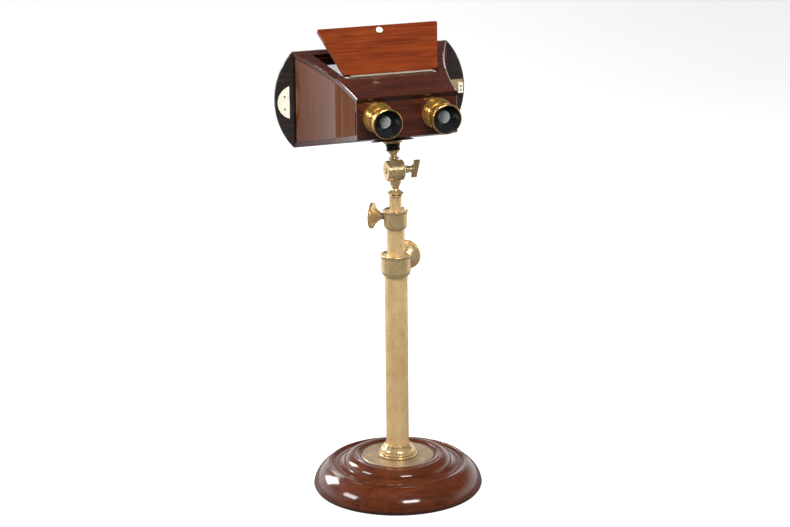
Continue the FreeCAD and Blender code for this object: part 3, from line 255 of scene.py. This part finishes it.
def rgb(red, green, blue):
    return (red, green, blue, 1.0)


# ---------------------------------------------------------------- materials


def along(axis, length, across):
    """Return the sizes of a streak that runs along one axis."""
    sizes = [across, across, across]
    sizes[axis] = length
    return tuple(sizes)


def mahogany(name, dark, mid, light, axis, seed=0.0, shaded_front=False, banded=False, haze=0.045):
    """Polished mahogany: ribbon figure, fine dark pores along the grain and a clear polish.

    shaded_front and banded paint in shade and reflections, so they stay put when the view changes.
    """
    wood = Shader(name)
    shift = (seed, seed * 1.7, seed * 0.6)
    ribbon = wood.noise(along(axis, 85, 9), 3.0, 0.55, shift, 0.6)
    streak = wood.noise(along(axis, 40, 1.6), 3.0, 0.6, shift, 0.3)
    cloud = wood.noise((34, 34, 34), 2.0, 0.5, shift)
    pores = wood.noise(along(axis, 5.0, 0.28), 2.0, 0.6, shift)
    colour = wood.mix(wood.ramp(ribbon, 0.34, 0.66), dark, mid)
    colour = wood.mix(wood.ramp(streak, 0.42, 0.72, 0.0, 0.75), colour, light)
    colour = wood.mix(wood.ramp(cloud, 0.35, 0.75, 0.0, 0.35), colour, dark)
    pore_mask = wood.ramp(pores, 0.60, 0.72, 0.0, 0.45)
    colour = wood.mix(pore_mask, colour, dark)
    black = rgb(dark[0] * 0.3, dark[1] * 0.3, dark[2] * 0.3)
    worn = wood.edges(1.2)
    colour = wood.mix(wood.math("MULTIPLY", worn, 0.35), colour, light)
    # Painted shade: grooves and corners darkened toward near-black.
    colour = wood.mix(wood.math("MULTIPLY", wood.groove_shade(5.0), 0.7), colour, black)
    # Painted shade: faces that look forward are darkened toward near-black.
    if shaded_front:
        colour = wood.mix(wood.ramp(wood.facing((0, -1, 0)), 0.72, 0.94, 0.0, 0.85), colour, black)
    wood.feed(colour, "Base Color")
    smears = wood.noise((13, 13, 13), 4.0, 0.65, shift)
    wood.feed(wood.ramp(smears, 0.3, 0.8, 0.38, 0.55), "Roughness")
    wood.set("Specular IOR Level", 0.06)
    if banded:
        wood.feed(polish_bands(wood), "Coat Weight")
    else:
        wood.set("Coat Weight", 1.0)
    wood.set("Coat Roughness", haze)
    wood.set("Coat IOR", 1.5)
    ripple = wood.noise((16, 16, 16), 2.0, 0.5, shift)
    normal = wood.bump(ripple, 0.10)
    wood.feed(wood.bump(pores, 0.02, 0.5, normal), "Normal")
    wood.feed(normal, "Coat Normal")
    return wood.material


def polish_bands(wood):
    """How strongly the sides mirror their surroundings, weaker in upright bands near the front.

    The real polish is even. The bands stand in for the dark reflections seen on it, by depth in mm.
    """
    coords = wood.node("TexCoord").outputs["Object"]
    depth = wood.math("DIVIDE", wood.node("SeparateXYZ", {"Vector": coords}).outputs["Y"], MM)
    rear = wood.ramp(depth, 9.0, 12.0)
    strip = wood.math("MULTIPLY", wood.ramp(depth, -8.0, -6.5), wood.ramp(depth, -2.5, -4.0))
    front = wood.ramp(depth, -22.0, -26.0, 0.0, 0.03)
    thin = wood.math("ADD", wood.math("MULTIPLY", strip, 0.30), front)
    return wood.math("ADD", rear, wood.math("ADD", thin, 0.01))


def ebonised():
    """Black-stained wood whose polish lets a little brown through."""
    wood = Shader("ebonised_wood")
    streak = wood.noise(along(0, 45, 1.8), 3.0, 0.6)
    rub = wood.noise((11, 11, 11), 4.0, 0.6)
    colour = wood.mix(wood.ramp(streak, 0.4, 0.7), rgb(0.012, 0.009, 0.008), rgb(0.028, 0.017, 0.013))
    colour = wood.mix(wood.ramp(rub, 0.58, 0.75, 0, 0.5), colour, rgb(0.05, 0.034, 0.027))
    wood.feed(colour, "Base Color")
    wood.feed(wood.ramp(rub, 0.3, 0.75, 0.22, 0.42), "Roughness")
    wood.set("Coat Weight", 0.6)
    wood.set("Coat Roughness", 0.12)
    pores = wood.noise(along(0, 5, 0.3), 2.0, 0.6)
    wood.feed(wood.bump(pores, 0.02, 0.5), "Normal")
    return wood.material


def old_brass(name, bright, dull, stain, spots, roughness, metallic):
    """Unlacquered brass: soft polish, cloudy tarnish, dark spots and lathe lines round the pillar."""
    brass = Shader(name)
    cloud = brass.noise((22, 22, 30), 4.0, 0.6)
    patch = brass.noise((6, 6, 9), 4.0, 0.65, (3, 1, 8))
    spot = brass.noise((2.6, 2.6, 3.4), 2.0, 0.5, (7, 2, 5))
    colour = brass.mix(brass.ramp(cloud, 0.32, 0.68), bright, dull)
    colour = brass.mix(brass.ramp(patch, 0.58, 0.76, 0.0, 0.45), colour, stain)
    colour = brass.mix(brass.ramp(spot, 0.80, 0.86, 0.0, spots), colour, rgb(0.16, 0.08, 0.03))
    worn = brass.edges(0.5)
    colour = brass.mix(brass.math("MULTIPLY", worn, 0.5), colour, rgb(0.95, 0.85, 0.60))
    # Painted shade: grooves and hollows darkened toward dark brown.
    colour = brass.mix(brass.math("MULTIPLY", brass.groove_shade(2.0), 0.75), colour, rgb(0.07, 0.04, 0.02))
    brass.feed(colour, "Base Color")
    brass.set("Metallic", metallic)
    rough = brass.ramp(patch, 0.3, 0.75, roughness, roughness + 0.16)
    brass.feed(rough, "Roughness")
    lathe = brass.noise((60, 60, 0.9), 2.0, 0.6)
    scratch = brass.noise((1.6, 1.6, 20), 2.0, 0.6, (2, 9, 4))
    height = brass.math("ADD", lathe, brass.math("MULTIPLY", scratch, 0.6))
    normal = brass.bump(height, 0.0015, 0.5)
    dents = brass.noise((9, 9, 12), 2.0, 0.5, (5, 5, 5))
    brass.feed(brass.bump(dents, 0.008, 0.6, normal), "Normal")
    return brass.material


def inside_tube(shader):
    """1 on faces that look towards the nearer lens's axis, 0 on the others."""
    point = shader.node("SeparateXYZ", {"Vector": shader.node("TexCoord").outputs["Object"]})
    facing = shader.node("SeparateXYZ", {"Vector": shader.node("TexCoord").outputs["Normal"]})
    side = shader.math("SIGN", point.outputs["X"], 0.0)
    centre = shader.math("MULTIPLY", side, LENS_HALF_SPACING * MM)
    across = shader.math("SUBTRACT", point.outputs["X"], centre)
    above = shader.math("SUBTRACT", point.outputs["Z"], LENS_HEIGHT * MM)
    outward = shader.math(
        "ADD",
        shader.math("MULTIPLY", across, facing.outputs["X"]),
        shader.math("MULTIPLY", above, facing.outputs["Z"]),
    )
    return shader.ramp(outward, -0.001, -0.006)


def lacquered_brass():
    """Bright lacquered brass with a warm gold tint that darkens in patches."""
    brass = Shader("lacquered_brass")
    cloud = brass.noise((9, 9, 9), 4.0, 0.6)
    fleck = brass.noise((1.6, 1.6, 1.6), 3.0, 0.6, (4, 2, 6))
    colour = brass.mix(brass.ramp(cloud, 0.35, 0.7), rgb(0.86, 0.56, 0.17), rgb(0.68, 0.38, 0.08))
    colour = brass.mix(brass.ramp(fleck, 0.66, 0.8, 0.0, 0.4), colour, rgb(0.30, 0.15, 0.04))
    # Painted shade: grooves and hollows darkened toward near-black.
    colour = brass.mix(brass.math("MULTIPLY", brass.groove_shade(2.0), 0.85), colour, rgb(0.05, 0.02, 0.008))
    colour = brass.mix(inside_tube(brass), colour, rgb(0.008, 0.008, 0.008))
    brass.feed(colour, "Base Color")
    brass.set("Metallic", 0.9)
    brass.feed(brass.ramp(cloud, 0.3, 0.8, 0.14, 0.26), "Roughness")
    lines = brass.noise((60, 0.18, 60), 2.0, 0.6)
    brass.feed(brass.bump(lines, 0.008, 0.5), "Normal")
    return brass.material


def dark_metal():
    """Blackened brass, rubbed brown at the edges."""
    metal = Shader("blackened_metal")
    cloud = metal.noise((3, 3, 3), 4.0, 0.65)
    colour = metal.mix(metal.ramp(cloud, 0.4, 0.75), rgb(0.012, 0.010, 0.009), rgb(0.055, 0.04, 0.025))
    worn = metal.edges(0.5)
    colour = metal.mix(metal.math("MULTIPLY", worn, 0.7), colour, rgb(0.30, 0.21, 0.10))
    metal.feed(colour, "Base Color")
    metal.set("Metallic", 0.7)
    metal.feed(metal.ramp(cloud, 0.3, 0.8, 0.28, 0.5), "Roughness")
    metal.feed(metal.bump(cloud, 0.03, 0.6), "Normal")
    return metal.material


def black_cup():
    """Black polished cups round the lenses, with fine turning lines."""
    cup = Shader("black_cup")
    dust = cup.noise((4, 4, 4), 3.0, 0.6)
    colour = cup.mix(cup.ramp(dust, 0.55, 0.8), rgb(0.010, 0.010, 0.011), rgb(0.035, 0.034, 0.033))
    cup.feed(colour, "Base Color")
    cup.feed(cup.ramp(dust, 0.3, 0.8, 0.16, 0.26), "Roughness")
    cup.set("Specular IOR Level", 0.6)
    lines = cup.noise((60, 1.0, 60), 2.0, 0.6)
    cup.feed(cup.bump(lines, 0.004, 0.5), "Normal")
    return cup.material


def lens_glass():
    glass = Shader("lens_glass")
    glass.set("Base Color", rgb(0.95, 0.97, 0.96))
    glass.set("Transmission Weight", 1.0)
    glass.set("IOR", 1.52)
    haze = glass.noise((5, 5, 5), 4.0, 0.6)
    glass.feed(glass.ramp(haze, 0.4, 0.9, 0.0, 0.06), "Roughness")
    return glass.material


def ground_glass():
    """Glass ground on one side: white and even, it lets light through without a view."""
    glass = Shader("ground_glass")
    frost = glass.noise((0.5, 0.5, 0.5), 3.0, 0.7)
    stain = glass.noise((40, 40, 40), 3.0, 0.6)
    colour = glass.mix(glass.ramp(stain, 0.45, 0.8), rgb(0.99, 0.99, 0.99), rgb(0.93, 0.94, 0.93))
    glass.feed(colour, "Base Color")
    glass.set("Transmission Weight", 0.92)
    glass.set("Roughness", 0.75)
    glass.set("IOR", 1.45)
    glass.feed(glass.bump(frost, 0.02, 0.6), "Normal")
    return glass.material


def mirror():
    glass = Shader("silvered_mirror")
    age = glass.noise((18, 18, 18), 5.0, 0.65)
    fleck = glass.noise((1.2, 1.2, 1.2), 2.0, 0.5, (1, 2, 3))
    colour = glass.mix(glass.ramp(age, 0.5, 0.8, 0, 0.4), rgb(0.86, 0.87, 0.87), rgb(0.62, 0.58, 0.50))
    colour = glass.mix(glass.ramp(fleck, 0.72, 0.8, 0, 0.8), colour, rgb(0.16, 0.12, 0.09))
    glass.feed(colour, "Base Color")
    glass.set("Metallic", 1.0)
    glass.feed(glass.ramp(age, 0.4, 0.8, 0.02, 0.10), "Roughness")
    return glass.material


def ivory():
    """Old ivory: cream, with faint long grain and a soft polish."""
    bone = Shader("old_ivory")
    grain = bone.noise((0.6, 3, 22), 3.0, 0.6)
    age = bone.noise((14, 14, 14), 3.0, 0.6)
    colour = bone.mix(bone.ramp(grain, 0.4, 0.75), rgb(0.88, 0.86, 0.74), rgb(0.80, 0.75, 0.58))
    colour = bone.mix(bone.ramp(age, 0.5, 0.8, 0, 0.5), colour, rgb(0.72, 0.62, 0.42))
    bone.feed(colour, "Base Color")
    bone.set("Roughness", 0.28)
    bone.set("Subsurface Weight", 0.12)
    bone.set("Subsurface Radius", (0.002, 0.0014, 0.0008))
    bone.set("Subsurface Scale", 1.0)
    bone.feed(bone.bump(grain, 0.01, 0.5), "Normal")
    return bone.material


def felt():
    cloth = Shader("green_felt")
    fibre = cloth.noise((0.35, 0.35, 0.35), 4.0, 0.75)
    patch = cloth.noise((9, 9, 9), 3.0, 0.6)
    colour = cloth.mix(cloth.ramp(fibre, 0.3, 0.75), rgb(0.02, 0.06, 0.03), rgb(0.05, 0.13, 0.065))
    colour = cloth.mix(cloth.ramp(patch, 0.5, 0.8, 0, 0.5), colour, rgb(0.07, 0.10, 0.05))
    cloth.feed(colour, "Base Color")
    cloth.set("Roughness", 0.95)
    cloth.set("Sheen Weight", 0.4)
    cloth.feed(cloth.bump(fibre, 0.15, 0.8), "Normal")
    return cloth.material


# ---------------------------------------------------------------- putting them on

TURNED_BRASS = (
    "pillar_foot", "lower_collar", "upper_collar", "stem", "lower_thumbscrew", "upper_thumbscrew",
    "lower_shoe", "upper_shoe", "middle_guide", "inner_guide", "knuckle_lower", "knuckle_cap", "knuckle_bolt",
    "key_washer", "wing_key", "knuckle_upper", "mounting_flange", "mounting_screws", "mirror_clips",
    "tablet_strip", "floor_screws",
)
TUBE_BRASS = ("outer_tube", "middle_tube", "inner_tube")
EBONISED = ("divider", "card_rails", "back_board", "glass_beads")
IVORY = ("ivory_plaque", "ivory_tablet", "lid_knob")


def paint(nodes, material):
    for name in nodes:
        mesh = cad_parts[name].data
        if not mesh.materials:
            mesh.materials.append(material)
        for index in range(len(mesh.materials)):
            mesh.materials[index] = material


def both(name):
    return (f"left_{name}", f"right_{name}")


def paint_wood():
    dark = rgb(0.026, 0.0060, 0.0032)
    mid = rgb(0.055, 0.0115, 0.0055)
    light = rgb(0.095, 0.0210, 0.0080)
    paint(["top_panel"], mahogany("top_mahogany", dark, mid, light, 0, 2.0, shaded_front=True))
    paint(["bottom_panel"], mahogany("bottom_mahogany", dark, mid, light, 0, 5.0))
    paint(["lens_board"], mahogany("front_mahogany", dark, mid, light, 0, 9.0))
    side_tones = (rgb(0.095, 0.026, 0.009), rgb(0.125, 0.035, 0.011), rgb(0.155, 0.044, 0.014))
    sides = mahogany("side_mahogany", *side_tones, 2, 4.0, banded=True)
    paint(both("side"), sides)
    lid_tones = (rgb(0.095, 0.014, 0.004), rgb(0.155, 0.026, 0.005), rgb(0.235, 0.050, 0.009))
    lid = mahogany("lid_mahogany", *lid_tones, 0, 7.0)
    paint(["lid_board"], lid)
    base_tones = (rgb(0.050, 0.011, 0.004), rgb(0.090, 0.020, 0.007), rgb(0.130, 0.032, 0.010))
    base = mahogany("base_mahogany", *base_tones, 0, 1.0, haze=0.11)
    paint(["base_disc"], base)
    paint(EBONISED, ebonised())


def paint_metal():
    bright = rgb(0.84, 0.63, 0.33)
    dull = rgb(0.68, 0.48, 0.24)
    stain = rgb(0.44, 0.29, 0.14)
    paint(TURNED_BRASS, old_brass("turned_brass", bright, dull, stain, 0.5, 0.20, 0.75))
    tube_tones = (rgb(0.86, 0.62, 0.31), rgb(0.74, 0.48, 0.22), rgb(0.50, 0.32, 0.14))
    tubes = old_brass("tube_brass", *tube_tones, 0.7, 0.26, 0.5)
    paint(TUBE_BRASS, tubes)
    plate_tones = (rgb(0.54, 0.40, 0.25), rgb(0.42, 0.30, 0.18), rgb(0.26, 0.18, 0.11))
    plate = old_brass("plate_brass", *plate_tones, 0.8, 0.34, 0.7)
    paint(["floor_plate"], plate)
    silvery = rgb(0.62, 0.56, 0.44)
    hinge = old_brass("hinge_brass", silvery, rgb(0.40, 0.33, 0.24), rgb(0.20, 0.15, 0.10), 0.8, 0.30, 0.8)
    paint(["box_hinge_leaf", "lid_hinge_leaf", "hinge_pin"], hinge)
    gold = lacquered_brass()
    for name in ("jacket", "draw_tube", "eye_ring"):
        paint(both(name), gold)
    paint(["flange_screws"], gold)
    paint(["mounting_collar", "mounting_plate", "tablet_pins"], dark_metal())


def paint_rest():
    paint(["base_baize"], felt())
    paint(both("eye_cup"), black_cup())
    paint(both("lens"), lens_glass())
    paint(["ground_glass"], ground_glass())
    paint(["lid_mirror"], mirror())
    paint(IVORY, ivory())


bpy.context.scene.view_settings.view_transform = "Standard"
place_camera()
light_stage()
build_world()
build_floor()
paint_wood()
paint_metal()
paint_rest()
